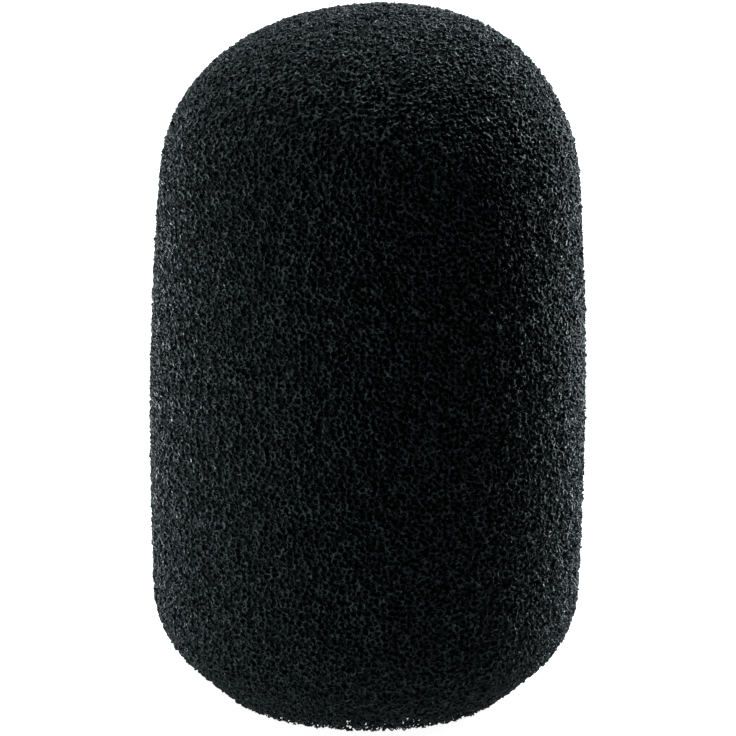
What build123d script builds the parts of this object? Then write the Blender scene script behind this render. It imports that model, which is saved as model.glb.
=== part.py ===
from build123d import *
import math
import os

# Foam microphone windscreen. Millimetres, +Z along the axis towards the closed crown.
# The origin is the centre of the mouth's end face.

# Outer shape
length = 105.0            # mouth face to the top of the crown
belly_radius = 32.5       # widest point of the slightly barrelled side
lower_radius = 32.0       # side radius where the bottom corner begins
upper_radius = 31.1       # side radius where the shoulder begins
crown_radius = 42.0       # flatter arc over the top
shoulder_radius = 26.0    # arc from the crown into the side
corner_radius = 15.5      # bottom corner
corner_height = 17.5      # height of the bottom corner's centre
taper_angle = 42.0        # slope of the lower end, from the horizontal
rim_radius = 19.0         # outer edge of the flat mouth face
lip_radius = 2.8          # rounded outer edge of the lip
belly_height = 44.0       # height of the widest point

# Inside of the coarse foam
mouth_radius = 17.0       # mouth bore, relaxed
mouth_depth = 9.0         # length of the straight mouth bore
cavity_radius = 25.5      # coarse foam's bore behind the mouth
crown_wall = 9.0          # foam thickness at the top of the crown
inner_shoulder_radius = 17.0

# Seams between the three coarse foam mouldings, each closed by a glue film
collar_seam_height = 16.0
crown_seam_height = 71.0
bond_thickness = 0.3
bond_setback = 1.6        # the film stops short of the outer surface

# Fine-celled lining
head_radius = 23.0        # liner's bore, which grips the microphone's head
liner_top = 74.0          # liner's upper end, where the crown pad sits
pad_thickness = 4.0       # at the top of the crown pad
pad_shoulder_radius = 14.5

# Elastic ring let into the mouth, flush with its bore
ring_thickness = 2.0
ring_width = 3.0
ring_height = 3.5         # underside of the ring above the mouth face

overshoot = 5.0           # how far the cutting profiles run past the solid


def arc_point(centre, radius, angle):
    """Point on an arc in the profile plane (radius, height), angle in degrees from +X."""
    turn = math.radians(angle)
    return (centre[0] + radius * math.cos(turn), centre[1] + radius * math.sin(turn))


def arc_edge(centre, radius, start, end):
    """Arc in the profile plane between two angles in degrees."""
    middle = (start + end) / 2
    return ThreePointArc(*(arc_point(centre, radius, angle) for angle in (start, middle, end)))


def spin(edges):
    """Solid of revolution about Z from a closed profile given as (radius, height) edges."""
    profile = make_face([Plane.XZ * edge for edge in edges])
    return revolve(profile, Axis.Z, 360)


def dome_arcs(side_radius, blend_radius, top_radius, top_height):
    """Shoulder and crown arcs from a vertical side to the axis, tangent to each other."""
    crown_centre = (0, top_height - top_radius)
    offset = side_radius - blend_radius
    rise = math.sqrt((top_radius - blend_radius) ** 2 - offset ** 2)
    shoulder_centre = (offset, crown_centre[1] + rise)
    meeting_angle = math.degrees(math.atan2(rise, offset))
    shoulder = arc_edge(shoulder_centre, blend_radius, 0, meeting_angle)
    crown = arc_edge(crown_centre, top_radius, meeting_angle, 90)
    return shoulder, crown


def outer_body():
    """The whole windscreen as one solid, with no cavity."""
    end_angle = taper_angle - 90
    lip_centre = (rim_radius, lip_radius)
    corner_centre = (lower_radius - corner_radius, corner_height)
    lip = arc_edge(lip_centre, lip_radius, -90, end_angle)
    corner = arc_edge(corner_centre, corner_radius, end_angle, 0)
    shoulder, crown = dome_arcs(upper_radius, shoulder_radius, crown_radius, length)
    belly = (belly_radius, belly_height)
    lower_side = TangentArc(belly, corner @ 1, tangent=(0, -1))
    upper_side = TangentArc(belly, shoulder @ 0, tangent=(0, 1))
    return spin([
        Line((0, 0), lip @ 0),
        lip,
        Line(lip @ 1, corner @ 0),
        corner,
        lower_side,
        upper_side,
        shoulder,
        crown,
        Line(crown @ 1, (0, 0)),
    ])


def domed_plug(side_radius, blend_radius, top_radius, top_height, bottom_height):
    """Round plug with a domed top, used for the cavity and for both faces of the crown pad."""
    shoulder, crown = dome_arcs(side_radius, blend_radius, top_radius, top_height)
    return spin([
        Line((0, bottom_height), (side_radius, bottom_height)),
        Line((side_radius, bottom_height), shoulder @ 0),
        shoulder,
        crown,
        Line(crown @ 1, (0, bottom_height)),
    ])


def tube(outer_radius, inner_radius, bottom, top):
    """Straight round tube between two heights."""
    ring = Circle(outer_radius) - Circle(inner_radius)
    return extrude(Pos(0, 0, bottom) * ring, top - bottom)


def slab(bottom, top):
    """Wide disc that keeps one layer of a body."""
    return extrude(Pos(0, 0, bottom) * Circle(2 * belly_radius), top - bottom)


ledge_height = mouth_depth + (head_radius - mouth_radius) * math.tan(math.radians(taper_angle))
half_bond = bond_thickness / 2
cavity_top = length - crown_wall

mouth_cut = spin([
    Polyline(
        (0, -overshoot),
        (mouth_radius, -overshoot),
        (mouth_radius, mouth_depth),
        (head_radius, ledge_height),
        (head_radius, ledge_height + overshoot),
        (0, ledge_height + overshoot),
        close=True,
    )
])
cavity_crown_radius = crown_radius - crown_wall
cavity_cut = domed_plug(
    cavity_radius, inner_shoulder_radius, cavity_crown_radius, cavity_top, ledge_height
)
head_space = domed_plug(
    head_radius,
    pad_shoulder_radius,
    cavity_crown_radius - pad_thickness,
    cavity_top - pad_thickness,
    ledge_height,
)
ring_top = ring_height + ring_width
mouth_ring = tube(mouth_radius + ring_thickness, mouth_radius, ring_height, ring_top)

coarse_foam = outer_body() - mouth_cut - cavity_cut - mouth_ring


def bond_at(height):
    """Glue film on one seam, following the side and set back from the outer surface."""
    layer = coarse_foam & slab(height - half_bond, height + half_bond)
    rim = layer.bounding_box().max.X - bond_setback
    return layer & tube(rim, cavity_radius, 0, length)


parts = {
    "crown_cap": coarse_foam & slab(crown_seam_height + half_bond, length + overshoot),
    "body_sleeve": coarse_foam
    & slab(collar_seam_height + half_bond, crown_seam_height - half_bond),
    "mouth_collar": coarse_foam & slab(-overshoot, collar_seam_height - half_bond),
    "crown_bond": bond_at(crown_seam_height),
    "collar_bond": bond_at(collar_seam_height),
    "head_liner": tube(cavity_radius, head_radius, ledge_height, liner_top),
    "crown_pad": (cavity_cut - head_space) & slab(liner_top, length),
    "mouth_ring": mouth_ring,
}

os.makedirs("parts", exist_ok=True)
for name, shape in parts.items():
    export_step(shape, f"parts/{name}.step")
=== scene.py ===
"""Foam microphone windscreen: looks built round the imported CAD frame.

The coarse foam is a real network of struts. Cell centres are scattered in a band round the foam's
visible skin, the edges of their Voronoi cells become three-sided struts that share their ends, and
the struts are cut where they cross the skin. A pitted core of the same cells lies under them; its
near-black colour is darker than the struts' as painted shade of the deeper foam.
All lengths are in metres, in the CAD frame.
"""
import math
from itertools import combinations

import bpy
import numpy as np
from mathutils import Matrix, Vector, noise
from mathutils.kdtree import KDTree


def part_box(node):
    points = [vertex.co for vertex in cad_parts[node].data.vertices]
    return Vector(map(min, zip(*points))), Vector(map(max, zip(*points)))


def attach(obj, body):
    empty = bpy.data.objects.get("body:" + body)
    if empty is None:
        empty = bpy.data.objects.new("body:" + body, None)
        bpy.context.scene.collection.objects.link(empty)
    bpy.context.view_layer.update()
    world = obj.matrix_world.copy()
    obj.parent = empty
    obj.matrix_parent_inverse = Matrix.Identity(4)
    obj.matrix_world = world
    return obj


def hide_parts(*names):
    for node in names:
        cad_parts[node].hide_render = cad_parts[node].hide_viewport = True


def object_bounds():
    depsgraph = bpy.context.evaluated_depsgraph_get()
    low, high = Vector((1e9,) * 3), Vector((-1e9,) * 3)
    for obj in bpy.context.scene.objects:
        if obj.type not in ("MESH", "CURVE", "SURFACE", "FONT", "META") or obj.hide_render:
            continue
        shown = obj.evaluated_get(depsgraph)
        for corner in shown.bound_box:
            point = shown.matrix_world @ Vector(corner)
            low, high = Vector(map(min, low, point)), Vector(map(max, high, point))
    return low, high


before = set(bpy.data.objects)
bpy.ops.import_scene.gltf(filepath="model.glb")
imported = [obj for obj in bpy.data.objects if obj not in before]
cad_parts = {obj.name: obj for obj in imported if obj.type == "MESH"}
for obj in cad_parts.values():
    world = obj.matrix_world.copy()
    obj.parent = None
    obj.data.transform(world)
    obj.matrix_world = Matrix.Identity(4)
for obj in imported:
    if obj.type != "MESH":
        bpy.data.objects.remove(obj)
cad_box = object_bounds()

MM = 0.001
SEED = 11
SHORTEST = 0.05 * MM         # stubs and steps shorter than this are left out
COARSE_NODES = ("crown_cap", "body_sleeve", "mouth_collar")

# Coarse foam
CELL = 0.85 * MM             # mean spacing of the cells
STRUT = 0.15 * MM            # from a strut's middle to its corners, at its ends
GIRTH = (0.5, 2.0)           # how much thinner or thicker the corners are than that
STRUT_LAYER = 0.85 * MM      # depth of foam under the skin that is built strut by strut
LIP_HEIGHT = 2.4 * MM        # below this the lip is struts only, with no core behind them
LIP_GIRTH = 0.5              # how thick its lowest struts are, as a share of the others
RAGGED = 1.0                 # most of a cut strut's length that is missing at the skin
BUMP = 0.5 * MM              # how far the cut skin wanders in and out, from end to end
BUMP_SIZE = 1.3 * MM
MOST_STRUTS = 29_000         # in one piece, six triangles each
NEIGHBOURS = 18              # sites looked at round each one, for its cell's corners
SITE_MARGIN = 1.4 * CELL     # how far past the layer of struts the cell centres reach
CORNER_MARGIN = 1.3 * CELL   # how far outside the skin a centre's corners are still looked for
CORNER_REACH = 1.2 * CELL    # farthest that a corner may be from its cell's centre
EVEN_GAP = 1.15 * CELL       # centres nearer than this push each other apart
EVEN_PUSH = 0.35
TETRA_FACES = np.array([[0, 1, 2], [0, 1, 3], [0, 2, 3], [1, 2, 3]])

# Core under the struts
CORE_DEPTH = STRUT_LAYER - 0.1 * MM
CORE_GRID = 0.45 * MM
CORE_RIDGE = 0.25 * MM
CORE_PIT = 0.55 * MM

# Fine foam of the lining
FINE_CELL = 0.8 * MM
FINE_PIT = 0.3 * MM
FINE_GRID = 0.42 * MM
PAD_ROWS = 40                # directions in which the pad's hollow is measured
PAD_WINDOW = 0.03            # radians round each one

# The crown leans a little to the right, as soft foam does
LEAN = 2.2 * MM
LEAN_START = 88 * MM

# Studio: name, degrees round from the camera's side, degrees up, width and height, watts
LIGHT_DISTANCE = 0.7
LIGHT_COLOUR = (0.91, 1.0, 1.04)
SOFTBOXES = (
    ("right_back", 132, 12, (0.30, 0.35), 3.5),
    ("right_back_high", 135, 45, (0.20, 0.20), 2.2),
    ("right_high", 90, 45, (0.20, 0.20), 0.7),
    ("left_back", -134, 12, (0.30, 0.35), 1.35),
    ("left_side", -82, 12, (0.30, 0.35), 0.62),
    ("left_high", -90, 45, (0.20, 0.20), 0.68),
    ("back_top", 180, 62, (0.20, 0.20), 1.4),
    ("left_front", -55, 5, (0.30, 0.20), 0.42),
    ("front_fill", 0, 12, (0.30, 0.35), 0.02),
)
# Light that a pale table would return: name, x and y of its middle, width and depth, watts
TABLE_LIGHT_HEIGHT = 0.5 * MM
TABLE_LIGHTS = (
    ("table_back", 0, 0.14, (0.16, 0.20), 0.15),
    ("table_back_left", -0.155, 0.14, (0.15, 0.20), 0.75),
    ("table_back_right", 0.155, 0.14, (0.15, 0.20), 0.75),
    ("table_left", -0.14, 0, (0.20, 0.30), 0.19),
    ("table_right", 0.05, 0, (0.03, 0.08), 0.0070),
    ("table_near", 0, 0, (0.13, 0.13), 0.014),
)

# Floor: half its width, and how far it glows towards white
FLOOR_HALF = 3.0
FLOOR_GLOW = 0.95

# Camera: metres, and degrees
CAMERA_DISTANCE = 0.7
CAMERA_ELEVATION = 13.74
CAMERA_AIM = 0.0505
CAMERA_ROLL = 0.5
SENSOR_MM = 36
LENS_MM = 230.1

rng = np.random.default_rng(SEED)


# ---------------------------------------------------------------- shape, read from the CAD frame

def node_points(name):
    """A CAD node's vertices as radius and height."""
    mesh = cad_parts[name].data
    flat = np.empty(len(mesh.vertices) * 3, np.float32)
    mesh.vertices.foreach_get("co", flat)
    points = flat.reshape(-1, 3).astype(float)
    return np.column_stack([np.hypot(points[:, 0], points[:, 1]), points[:, 2]])


def convex_profile(points):
    """The outer half of the convex outline of (radius, height) points, from the foot to the top."""
    hull = []
    for point in points[np.lexsort((-points[:, 0], points[:, 1]))]:
        while len(hull) > 1:
            (r0, z0), (r1, z1) = hull[-2], hull[-1]
            if (r1 - r0) * (point[1] - z1) - (z1 - z0) * (point[0] - r1) > 0:
                break
            hull.pop()
        hull.append(tuple(point))
    return np.array(hull)


def spaced(line, step):
    """A polyline's points at even steps along it."""
    run = np.r_[0, np.cumsum(np.hypot(*np.diff(line, axis=0).T))]
    marks = np.linspace(0, run[-1], max(2, round(run[-1] / step) + 1))
    return np.column_stack([np.interp(marks, run, line[:, 0]), np.interp(marks, run, line[:, 1])])


def inset(line, distance):
    """A polyline moved to its left, which is into the foam for a line that ends at the crown."""
    ahead = np.gradient(line, axis=0)
    ahead /= np.linalg.norm(ahead, axis=1, keepdims=True)
    return line + distance * np.column_stack([-ahead[:, 1], ahead[:, 0]])


foot, top = cad_box[0][2], cad_box[1][2]
collar_points = node_points("mouth_collar")
liner_points = node_points("head_liner")
mouth_radius = collar_points[:, 0].min()
mouth_top = collar_points[collar_points[:, 0] < mouth_radius + 0.01 * MM, 1].max()
head_radius = liner_points[:, 0].min()
cavity_radius = liner_points[:, 0].max()
ledge = liner_points[:, 1].min()
seams = [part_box(name)[1][2] for name in ("mouth_collar", "body_sleeve")]
object_middle = Vector((0, 0, (foot + top) / 2))

outline = convex_profile(np.vstack([node_points(name) for name in COARSE_NODES]))
outline[-1, 0] = 0
side_line = spaced(outline, 0.9 * MM)
mouth_line = np.array([(head_radius, ledge), (mouth_radius, mouth_top), (mouth_radius, foot)])
skin = np.vstack([mouth_line, side_line])


def polar(points):
    return np.column_stack([np.hypot(points[:, 0], points[:, 1]), points[:, 2]])


def depth(points):
    """How far 3-D points lie inside the foam's visible skin; negative outside it."""
    flat = polar(points)
    nearest = np.full(len(flat), np.inf)
    side = np.ones(len(flat))
    for start, end in zip(skin[:-1], skin[1:]):
        run = end - start
        away = flat - start
        share = np.clip(away @ run / (run @ run), 0, 1)
        distance = np.linalg.norm(away - share[:, None] * run, axis=1)
        closer = distance < nearest
        nearest[closer] = distance[closer]
        side[closer] = np.sign(run[0] * away[closer, 1] - run[1] * away[closer, 0])
    return nearest * side


def lean(points):
    """Points moved sideways the way the crown leans."""
    rise = np.clip((points[:, 2] - LEAN_START) / (top - LEAN_START), 0, None)
    moved = points.copy()
    moved[:, 0] += LEAN * rise**2
    return moved


def cut_depth(points):
    """Depth under the cut skin, which wanders in and out, mostly in, from the smooth one."""
    inside = depth(points)
    close = np.abs(inside) < 2 * CELL
    waves = [noise.noise(Vector(point / BUMP_SIZE)) for point in points[close]]
    inside[close] -= BUMP * (0.15 + 0.5 * np.array(waves))
    return inside


# ---------------------------------------------------------------- coarse foam

def near_sites(points, count):
    """A search tree of the points, and the numbers of each point's nearest others."""
    tree = KDTree(len(points))
    for index, point in enumerate(points):
        tree.insert(point, index)
    tree.balance()
    found = [[hit[1] for hit in tree.find_n(point, count + 1)][1:] for point in points]
    return tree, np.array(found)


def scatter_sites():
    """Random cell centres in a band round the skin, pushed apart until they are evenly spaced."""
    low = np.array(cad_box[0]) - 2 * CELL
    high = np.array(cad_box[1]) + 2 * CELL
    axes = [np.arange(a, b, CELL) for a, b in zip(low, high)]
    grid = np.stack(np.meshgrid(*axes, indexing="ij"), -1).reshape(-1, 3)
    sites = grid + rng.random(grid.shape) * CELL
    inside = depth(sites)
    sites = sites[(inside > -SITE_MARGIN) & (inside < STRUT_LAYER + SITE_MARGIN)]
    for _ in range(2):
        _, others = near_sites(sites, 8)
        away = sites[:, None, :] - sites[others]
        distance = np.linalg.norm(away, axis=2, keepdims=True)
        push = np.clip(EVEN_GAP - distance, 0, None) * away / distance
        sites = sites + EVEN_PUSH * push.sum(axis=1)
    return sites


def foam_corners(sites, others):
    """Corners of the sites' Voronoi cells, and each corner's four sites in rising order.

    A corner is the middle of a sphere through a site and three of its neighbours that holds no
    other site. A site only makes corners with sites that come after it, so none is made twice.
    """
    triples = np.array(list(combinations(range(NEIGHBOURS), 3)))
    inside = depth(sites)
    wanted = np.nonzero((inside > -CORNER_MARGIN) & (inside < STRUT_LAYER + CELL))[0]
    corners, owners = [], []
    for block in np.array_split(wanted, max(1, len(wanted) // 1500)):
        near = others[block]
        to = sites[near] - sites[block][:, None, :]
        later = near > block[:, None]
        row, pick = np.nonzero(later[:, triples].all(axis=2))
        a, b, c = (to[row, triples[pick, k]] for k in range(3))
        cross = np.cross(b, c)
        volume = 2 * np.einsum("ij,ij->i", a, cross)
        solid = np.abs(volume) > 1e-6 * CELL**3
        row, pick, a, b, c, cross, volume = (x[solid] for x in (row, pick, a, b, c, cross, volume))
        squares = [(x**2).sum(axis=1)[:, None] for x in (a, b, c)]
        middle = squares[0] * cross + squares[1] * np.cross(c, a) + squares[2] * np.cross(a, b)
        middle /= volume[:, None]
        reach = (middle**2).sum(axis=1)
        keep = reach < CORNER_REACH**2
        row, pick, middle, reach = row[keep], pick[keep], middle[keep], reach[keep]
        for k in range(NEIGHBOURS):
            empty = ((middle - to[row, k]) ** 2).sum(axis=1) > reach * (1 - 1e-7)
            row, pick, middle, reach = row[empty], pick[empty], middle[empty], reach[empty]
        corners.append(middle + sites[block[row]])
        owners.append(np.column_stack([block[row], near[row[:, None], triples[pick]]]))
    return np.vstack(corners), np.sort(np.vstack(owners), axis=1)


def foam_struts(owners, count):
    """Pairs of corners that share three sites, with the places of those sites at each corner."""
    faces = owners[:, TETRA_FACES].astype(np.int64)
    keys = ((faces[..., 0] * count + faces[..., 1]) * count + faces[..., 2]).ravel()
    order = np.argsort(keys, kind="stable")
    twins = np.nonzero(keys[order][1:] == keys[order][:-1])[0]
    first, second = order[twins], order[twins + 1]
    start_face, end_face = first % 4, second % 4
    return first // 4, second // 4, TETRA_FACES[start_face], TETRA_FACES[end_face], start_face, end_face


class Foam:
    """The strut network: ring vertices at every corner, and the faces round every strut."""

    def __init__(self):
        sites = scatter_sites()
        self.tree, others = near_sites(sites, NEIGHBOURS)
        corners, owners = foam_corners(sites, others)
        start, end, start_ring, end_ring, start_face, end_face = foam_struts(owners, len(sites))
        inside = cut_depth(corners)
        deep = np.maximum(inside[start], inside[end])
        shallow = np.minimum(inside[start], inside[end])
        keep = (deep > SHORTEST) & (shallow < STRUT_LAYER)
        start, end, start_ring, end_ring, start_face, end_face = (
            x[keep] for x in (start, end, start_ring, end_ring, start_face, end_face)
        )
        # a strut that crosses the skin runs outwards, from its inner end
        flip = inside[start] < inside[end]
        start, end = np.where(flip, end, start), np.where(flip, start, end)
        start_ring, end_ring = (
            np.where(flip[:, None], end_ring, start_ring),
            np.where(flip[:, None], start_ring, end_ring),
        )
        start_face, end_face = (
            np.where(flip, end_face, start_face),
            np.where(flip, start_face, end_face),
        )
        toward = sites[owners] - corners[:, None, :]
        toward /= np.linalg.norm(toward, axis=2, keepdims=True)
        girth = STRUT * rng.uniform(*GIRTH, len(corners))
        girth *= np.interp(corners[:, 2] - foot, [0, LIP_HEIGHT], [LIP_GIRTH, 1])
        ring_points = corners[:, None, :] + girth[:, None, None] * toward

        lower = ring_points[start[:, None], start_ring]
        upper = ring_points[end[:, None], end_ring]
        cut = inside[end] < 0
        share = inside[start] / np.maximum(inside[start] - inside[end], 1e-9)
        share = np.where(cut, share * (1 - RAGGED * rng.random(len(share)) ** 2), 1.0)
        upper = lower + share[:, None, None] * (upper - lower)

        # vertex numbers: four at each corner, then three at each cut end
        self.points = np.vstack([ring_points.reshape(-1, 3), upper[cut].reshape(-1, 3)])
        self.points[:, 2] = np.maximum(self.points[:, 2], foot)
        low_index = 4 * start[:, None] + start_ring
        high_index = 4 * end[:, None] + end_ring
        cut_index = 4 * len(corners) + np.arange(3 * cut.sum()).reshape(-1, 3)
        high_index[cut] = cut_index

        along = upper.mean(axis=1) - lower.mean(axis=1)
        turn = np.cross(lower[:, 1] - lower[:, 0], lower[:, 2] - lower[:, 0])
        backwards = np.einsum("ij,ij->i", along, turn) < 0
        low_index[backwards] = low_index[backwards][:, ::-1]
        high_index[backwards] = high_index[backwards][:, ::-1]

        after = [1, 2, 0]
        self.sides = np.stack(
            [low_index, low_index[:, after], high_index[:, after], high_index], axis=-1
        )
        self.caps = high_index[cut]
        self.cap_strut = np.nonzero(cut)[0]
        self.middle = (lower.mean(axis=1) + upper.mean(axis=1)) / 2

        # the tetrahedron's faces at a corner that no strut leaves from
        used = np.zeros((len(corners), 4), bool)
        used[start, start_face] = True
        used[end[~cut], end_face[~cut]] = True
        shown = used.any(axis=1)
        corner, face = np.nonzero(~used & shown[:, None])
        plug = 4 * corner[:, None] + TETRA_FACES[face]
        a, b, c = (self.points[plug[:, k]] for k in range(3))
        outward = (a + b + c) / 3 - corners[corner]
        backwards = np.einsum("ij,ij->i", np.cross(b - a, c - a), outward) < 0
        plug[backwards] = plug[backwards][:, ::-1]
        self.plugs = plug
        self.plug_at = corners[corner]


def mesh_object(name, points, faces, material):
    """A smooth mesh from vertex numbers; faces is a list of arrays of three or four columns."""
    used, flat = np.unique(np.concatenate([f.ravel() for f in faces]), return_inverse=True)
    sizes = np.concatenate([np.full(len(f), f.shape[1]) for f in faces])
    mesh = bpy.data.meshes.new(name)
    mesh.vertices.add(len(used))
    mesh.vertices.foreach_set("co", lean(points[used]).astype(np.float32).ravel())
    mesh.loops.add(len(flat))
    mesh.loops.foreach_set("vertex_index", flat.astype(np.int32))
    mesh.polygons.add(len(sizes))
    starts = np.r_[0, np.cumsum(sizes)[:-1]]
    mesh.polygons.foreach_set("loop_start", starts.astype(np.int32))
    mesh.polygons.foreach_set("use_smooth", np.ones(len(sizes), bool))
    mesh.update(calc_edges=True)
    mesh.validate()
    layer = mesh.uv_layers.new(name="OFBake")
    layer.data.foreach_set("uv", wrapped_uv(points[used])[flat].astype(np.float32).ravel())
    mesh.materials.append(material)
    piece = bpy.data.objects.new(name, mesh)
    bpy.context.scene.collection.objects.link(piece)
    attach(piece, "root")
    return piece


def wrapped_uv(points):
    """Angle and distance along the axis, scaled to fill the square."""
    angle = np.arctan2(points[:, 1], points[:, 0])
    if np.ptp(angle) > 1.9 * math.pi:
        angle = angle % (2 * math.pi)
    both = np.column_stack([angle, points[:, 2]])
    low, high = both.min(axis=0), both.max(axis=0)
    return 0.01 + 0.98 * (both - low) / (high - low)


def add_struts(foam, node, low, high, material):
    """The struts between two heights, split round the axis into pieces of a fair size."""
    def within(points):
        return (points[:, 2] >= low) & (points[:, 2] < high)

    here = within(foam.middle)
    count = max(1, math.ceil(here.sum() / MOST_STRUTS))

    def sector(points):
        turn = np.arctan2(points[:, 1], points[:, 0]) / (2 * math.pi) + 0.5
        return np.minimum((turn * count).astype(int), count - 1)

    strut_sector = sector(foam.middle)
    plug_here, plug_sector = within(foam.plug_at), sector(foam.plug_at)
    for number in range(count):
        mine = here & (strut_sector == number)
        faces = [
            foam.sides[mine].reshape(-1, 4),
            foam.caps[mine[foam.cap_strut]],
            foam.plugs[plug_here & (plug_sector == number)],
        ]
        name = f"{node}_struts_{number + 1}"
        piece = mesh_object(name, foam.points, faces, material)
        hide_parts(node)


# ---------------------------------------------------------------- turned solids with a pitted face

def turned(name, node, face_line, back_line, grid, pit, material):
    """A closed solid of revolution: a finely gridded face moved along its normal, and a plain back.

    Both are (radius, height) lines with the solid on their left, and the back runs the same way
    as the face. A line's end on the axis closes in a single vertex.
    """
    face = spaced(face_line, grid)
    columns = round(2 * math.pi * face[:, 0].max() / grid)
    angles = np.arange(columns) * 2 * math.pi / columns
    round_about = np.stack([np.cos(angles), np.sin(angles)], axis=-1)
    rows = np.vstack([face, back_line[::-1]])
    points = np.concatenate(
        [rows[:, None, :1] * round_about, np.repeat(rows[:, None, 1:], columns, axis=1)], axis=-1
    )
    ahead = np.gradient(face, axis=0)
    ahead /= np.linalg.norm(ahead, axis=1, keepdims=True)
    normal = np.concatenate(
        [ahead[:, None, 1:] * round_about, np.repeat(-ahead[:, None, :1], columns, axis=1)], axis=-1
    )
    free = slice(1, len(face) - 1)
    shift = pit(points[free].reshape(-1, 3)).reshape(len(face) - 2, columns, 1)
    points[free] += normal[free] * shift

    on_axis = rows[:, 0] < 1e-6
    index = np.arange(len(rows) * columns).reshape(len(rows), columns)
    index[on_axis] = index[on_axis][:, :1]
    here, there = index, np.roll(index, -1, axis=0)
    aside = np.roll(np.stack([here, there]), -1, axis=2)
    quads = np.stack([here, aside[0], aside[1], there], axis=-1)
    axis_next = np.roll(on_axis, -1)
    faces = [
        quads[~on_axis & ~axis_next].reshape(-1, 4),
        quads[~on_axis & axis_next][..., [0, 1, 3]].reshape(-1, 3),
        quads[on_axis & ~axis_next][..., [0, 2, 3]].reshape(-1, 3),
    ]
    piece = mesh_object(name, points.reshape(-1, 3), faces, material)
    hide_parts(node)


def cell_pits(tree):
    """Ridges where the foam's cells meet, and pits at the cells' middles."""
    def pit(points):
        near = np.array([[hit[2] for hit in tree.find_n(point, 3)] for point in points])
        gap = (near[:, 2] - near[:, 0]) / CELL
        ridge = np.exp(-((gap / 0.22) ** 2))
        return CORE_RIDGE * ridge - CORE_PIT * np.clip(gap, 0, 0.8)

    return pit


def fine_pits(points):
    """The same shape at the fine foam's smaller cells."""
    near = np.array([noise.voronoi(Vector(point / FINE_CELL))[0][:3] for point in points])
    gap = near[:, 2] - near[:, 0]
    return FINE_PIT * (0.35 * np.exp(-((gap / 0.2) ** 2)) - np.clip(gap, 0, 0.9))


# ---------------------------------------------------------------- materials

class Nodes:
    """A material's node tree with short calls."""

    def __init__(self, name):
        self.material = bpy.data.materials.new(name)
        self.material.use_nodes = True
        self.tree = self.material.node_tree
        self.shader = self.tree.nodes["Principled BSDF"]
        self.place = self.tree.nodes.new("ShaderNodeTexCoord").outputs["Object"]

    def add(self, kind, inputs=None, **settings):
        node = self.tree.nodes.new(kind)
        for key, value in settings.items():
            setattr(node, key, value)
        for key, value in (inputs or {}).items():
            if isinstance(value, bpy.types.NodeSocket):
                self.tree.links.new(value, node.inputs[key])
            else:
                node.inputs[key].default_value = value
        return node

    def noise(self, size, detail=2.0, roughness=0.5):
        """Noise from 0 to 1 whose features are about this size in metres."""
        settings = {"Vector": self.place, "Scale": 1 / size, "Detail": detail, "Roughness": roughness}
        return self.add("ShaderNodeTexNoise", settings).outputs["Fac"]

    def ramp(self, factor, *stops):
        node = self.add("ShaderNodeValToRGB", {"Fac": factor})
        elements = node.color_ramp.elements
        while len(elements) < len(stops):
            elements.new(0.5)
        for element, (position, colour) in zip(elements, stops):
            element.position = position
            element.color = (*colour, 1)
        return node.outputs["Color"]

    def span(self, factor, low, high):
        """The factor's middle range stretched to run from low to high."""
        settings = {"Value": factor, "From Min": 0.3, "From Max": 0.7, "To Min": low, "To Max": high}
        return self.add("ShaderNodeMapRange", settings).outputs["Result"]

    def bump(self, height, strength, distance):
        settings = {"Height": height, "Strength": strength, "Distance": distance}
        normal = self.add("ShaderNodeBump", settings).outputs["Normal"]
        self.tree.links.new(normal, self.shader.inputs["Normal"])

    def finish(self, colour, roughness, **constants):
        self.tree.links.new(colour, self.shader.inputs["Base Color"])
        self.tree.links.new(roughness, self.shader.inputs["Roughness"])
        for key, value in constants.items():
            self.shader.inputs[key.replace("_", " ")].default_value = value
        return self.material


def strut_material_with_painted_highlights():
    """Black polyurethane: slightly cool, with scattered shiny spots. Its colour varies at random from
    strut to strut, and its brightest spots are painted highlights that stand in for glints on the
    struts.
    """
    m = Nodes("coarse_foam_struts_with_painted_highlights")
    # Random tone from strut to strut; the bright end of the ramp is painted highlight, glints painted
    # into the colour.
    colour = m.ramp(
        m.noise(1.5 * MM, detail=3.0, roughness=0.65),
        (0.34, (0.005, 0.007, 0.007)),
        (0.50, (0.024, 0.032, 0.033)),
        (0.66, (0.090, 0.117, 0.120)),
    )
    rough = m.span(m.noise(0.6 * MM, detail=0.0), 0.3, 0.8)
    return m.finish(colour, rough, Specular_IOR_Level=0.5)


def core_material_with_painted_shade():
    m = Nodes("coarse_foam_core_with_painted_shade")
    fine = m.noise(0.6 * MM, detail=2.0)
    # Near-black and darker than the struts: painted shade that stands in for the deeper struts that
    # light hardly reaches.
    colour = m.ramp(fine, (0.3, (0.007, 0.009, 0.009)), (0.75, (0.030, 0.036, 0.037)))
    rough = m.span(m.noise(0.9 * MM), 0.6, 0.9)
    m.bump(fine, 0.6, 0.2 * MM)
    return m.finish(colour, rough, Specular_IOR_Level=0.2)


def fine_foam_material():
    m = Nodes("fine_foam")
    fine = m.noise(0.35 * MM, detail=2.0)
    colour = m.ramp(fine, (0.3, (0.006, 0.007, 0.007)), (0.7, (0.035, 0.038, 0.039)))
    rough = m.span(m.noise(0.8 * MM), 0.5, 0.8)
    m.bump(fine, 0.5, 0.1 * MM)
    return m.finish(colour, rough, Specular_IOR_Level=0.35)


def ring_material():
    """Black elastic, with fine ribs that run along the mouth."""
    m = Nodes("elastic_ring")
    grain = m.noise(0.25 * MM, detail=2.0)
    colour = m.ramp(grain, (0.3, (0.012, 0.012, 0.013)), (0.7, (0.032, 0.032, 0.034)))
    rough = m.span(m.noise(0.6 * MM), 0.45, 0.65)
    wave = m.add(
        "ShaderNodeTexWave",
        {"Vector": m.place, "Scale": 0.3 / MM, "Distortion": 0.6, "Detail": 1.0},
        bands_direction="Z",
    )
    m.bump(wave.outputs["Fac"], 0.6, 0.15 * MM)
    return m.finish(colour, rough, Specular_IOR_Level=0.5)


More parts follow.
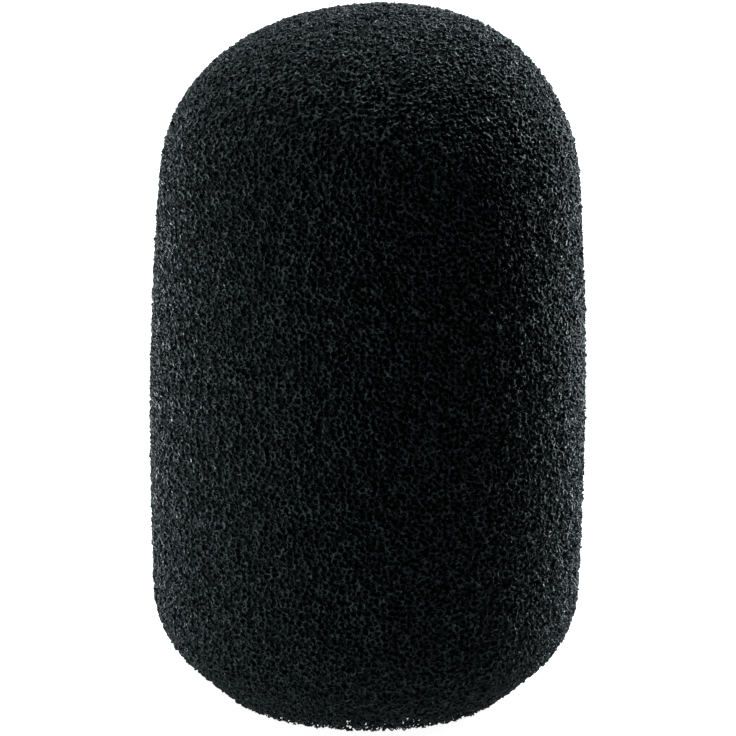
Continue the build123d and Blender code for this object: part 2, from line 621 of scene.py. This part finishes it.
def glue_material():
    m = Nodes("glue_film")
    streaks = m.noise(1.5 * MM, detail=3.0)
    colour = m.ramp(streaks, (0.3, (0.020, 0.019, 0.016)), (0.7, (0.050, 0.047, 0.040)))
    rough = m.span(m.noise(2.0 * MM), 0.25, 0.5)
    m.bump(streaks, 0.4, 0.1 * MM)
    return m.finish(colour, rough, Specular_IOR_Level=0.5)


# ---------------------------------------------------------------- the pieces

def crossing(line, height):
    """The outer line's point at a height."""
    return np.array([np.interp(height, line[:, 1], line[:, 0]), height])


def between(line, low, high):
    """The part of a rising line between two heights, with its ends exactly there."""
    inside = line[(line[:, 1] > low + SHORTEST) & (line[:, 1] < high - SHORTEST)]
    return np.vstack([crossing(line, low), inside, crossing(line, high)])


def build_coarse_foam():
    struts, core = strut_material_with_painted_highlights(), core_material_with_painted_shade()
    foam = Foam()
    pit = cell_pits(foam.tree)
    collar_seam, crown_seam = seams
    add_struts(foam, "mouth_collar", foot - CELL, collar_seam, struts)
    add_struts(foam, "body_sleeve", collar_seam, crown_seam, struts)
    add_struts(foam, "crown_cap", crown_seam, top + CELL, struts)

    def add_core(node, face, back):
        turned(f"{node}_core", node, face, back, CORE_GRID, pit, core)

    core_line = inset(side_line, CORE_DEPTH)
    core_line[-1, 0] = 0
    sleeve_back = np.array([(cavity_radius, collar_seam), (cavity_radius, crown_seam)])
    add_core("body_sleeve", between(core_line, collar_seam, crown_seam), sleeve_back)

    above = core_line[core_line[:, 1] > crown_seam + 0.1 * MM]
    crown_face = np.vstack([crossing(core_line, crown_seam), above])
    pad_outline = convex_profile(node_points("crown_pad"))
    pad_outline[-1, 0] = 0
    pad_side = pad_outline[pad_outline[:, 0].argmax() :]
    crown_back = np.vstack([(cavity_radius, crown_seam), spaced(pad_side, 2 * MM)])
    add_core("crown_cap", crown_face, crown_back)

    inner_line = inset(spaced(mouth_line, 0.5 * MM), CORE_DEPTH)
    inner_line = inner_line[inner_line[:, 1] > LIP_HEIGHT]
    outer_line = between(core_line, LIP_HEIGHT, collar_seam)
    collar_back = np.array([(cavity_radius, ledge), (cavity_radius, collar_seam)])
    add_core("mouth_collar", np.vstack([inner_line, outer_line]), collar_back)


def build_lining():
    material = fine_foam_material()

    def add_fine(node, face, back):
        turned(f"{node}_foam", node, face, back, FINE_GRID, fine_pits, material)

    liner_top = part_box("head_liner")[1][2]
    face = np.array([(head_radius, liner_top), (head_radius, ledge)])
    back = np.array([(cavity_radius, liner_top), (cavity_radius, ledge)])
    add_fine("head_liner", face, back)

    points = node_points("crown_pad")
    outside = convex_profile(points)
    outside = outside[outside[:, 0].argmax() :]
    outside[-1, 0] = 0
    pad_foot = points[:, 1].min()
    centre = np.array([0, pad_foot])
    reach = np.linalg.norm(points - centre, axis=1)
    turn = np.arctan2(points[:, 1] - pad_foot, points[:, 0])
    inside = []
    for angle in np.linspace(math.pi / 2, 0, PAD_ROWS):
        close = np.abs(turn - angle) < PAD_WINDOW
        if close.any():
            toward = np.array([math.cos(angle), math.sin(angle)])
            inside.append(centre + reach[close].min() * toward)
    inside = np.array(inside)
    inside[0, 0] = 0
    add_fine("crown_pad", inside, outside[::-1])


def finish_cad_nodes():
    ring, glue = ring_material(), glue_material()
    for name, material in (("mouth_ring", ring), ("crown_bond", glue), ("collar_bond", glue)):
        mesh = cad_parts[name].data
        mesh.materials.clear()
        mesh.materials.append(material)


# ---------------------------------------------------------------- stage, lights and camera

def softbox(name, place, aim, size, watts):
    light = bpy.data.lights.new(name, "AREA")
    light.shape = "RECTANGLE"
    light.size, light.size_y = size
    light.energy = watts
    light.color = LIGHT_COLOUR
    lamp = bpy.data.objects.new(name, light)
    lamp.location = place
    lamp.visible_camera = False
    lamp.rotation_euler = (Vector(aim) - Vector(place)).to_track_quat("-Z", "Y").to_euler()
    bpy.context.scene.collection.objects.link(lamp)


def build_floor():
    """A pale, softly lit-through table top that takes faint shadows."""
    corners = [(FLOOR_HALF * x, FLOOR_HALF * y, 0) for x, y in ((-1, -1), (1, -1), (1, 1), (-1, 1))]
    mesh = bpy.data.meshes.new("floor")
    mesh.from_pydata(corners, [], [(0, 1, 2, 3)])
    floor = bpy.data.objects.new("floor", mesh)
    bpy.context.scene.collection.objects.link(floor)
    m = Nodes("pale_floor")
    cloud = m.noise(0.2, detail=2.0)
    colour = m.ramp(cloud, (0.3, (0.80, 0.80, 0.80)), (0.7, (0.84, 0.84, 0.84)))
    rough = m.span(cloud, 0.7, 0.8)
    m.finish(colour, rough, Emission_Color=(1, 1, 1, 1), Emission_Strength=FLOOR_GLOW)
    mesh.materials.append(m.material)
    floor.visible_diffuse = False
    floor.visible_glossy = False


def build_studio():
    """White all round, seen by the camera alone, and softboxes that light the object and the floor."""
    world = bpy.data.worlds.new("studio")
    world.use_nodes = True
    background = world.node_tree.nodes["Background"]
    background.inputs["Color"].default_value = (1, 1, 1, 1)
    background.inputs["Strength"].default_value = 1.0
    for ray in ("diffuse", "glossy", "transmission", "scatter"):
        setattr(world.cycles_visibility, ray, False)
    bpy.context.scene.world = world
    bpy.context.scene.view_settings.view_transform = "Standard"
    for name, azimuth, elevation, size, watts in SOFTBOXES:
        turn, rise = math.radians(azimuth), math.radians(elevation)
        flat = math.cos(rise)
        toward = Vector((math.sin(turn) * flat, -math.cos(turn) * flat, math.sin(rise)))
        softbox(name, object_middle + LIGHT_DISTANCE * toward, object_middle, size, watts)
    for name, x, y, size, watts in TABLE_LIGHTS:
        softbox(name, (x, y, TABLE_LIGHT_HEIGHT), (x, y, 1), size, watts)


def build_camera():
    """A long lens, a little above the object, held half a degree off level."""
    elevation, roll = math.radians(CAMERA_ELEVATION), math.radians(CAMERA_ROLL)
    place = object_middle + CAMERA_DISTANCE * Vector((0, -math.cos(elevation), math.sin(elevation)))
    lens = bpy.data.cameras.new("camera")
    lens.sensor_width = SENSOR_MM
    lens.lens = LENS_MM
    lens.clip_end = 20
    camera = bpy.data.objects.new("camera", lens)
    look = (Vector((0, 0, CAMERA_AIM)) - place).to_track_quat("-Z", "Y").to_matrix()
    camera.matrix_world = Matrix.Translation(place) @ (look @ Matrix.Rotation(roll, 3, "Z")).to_4x4()
    bpy.context.scene.collection.objects.link(camera)
    bpy.context.scene.camera = camera


build_camera()
build_coarse_foam()
build_lining()
finish_cad_nodes()
build_floor()
build_studio()
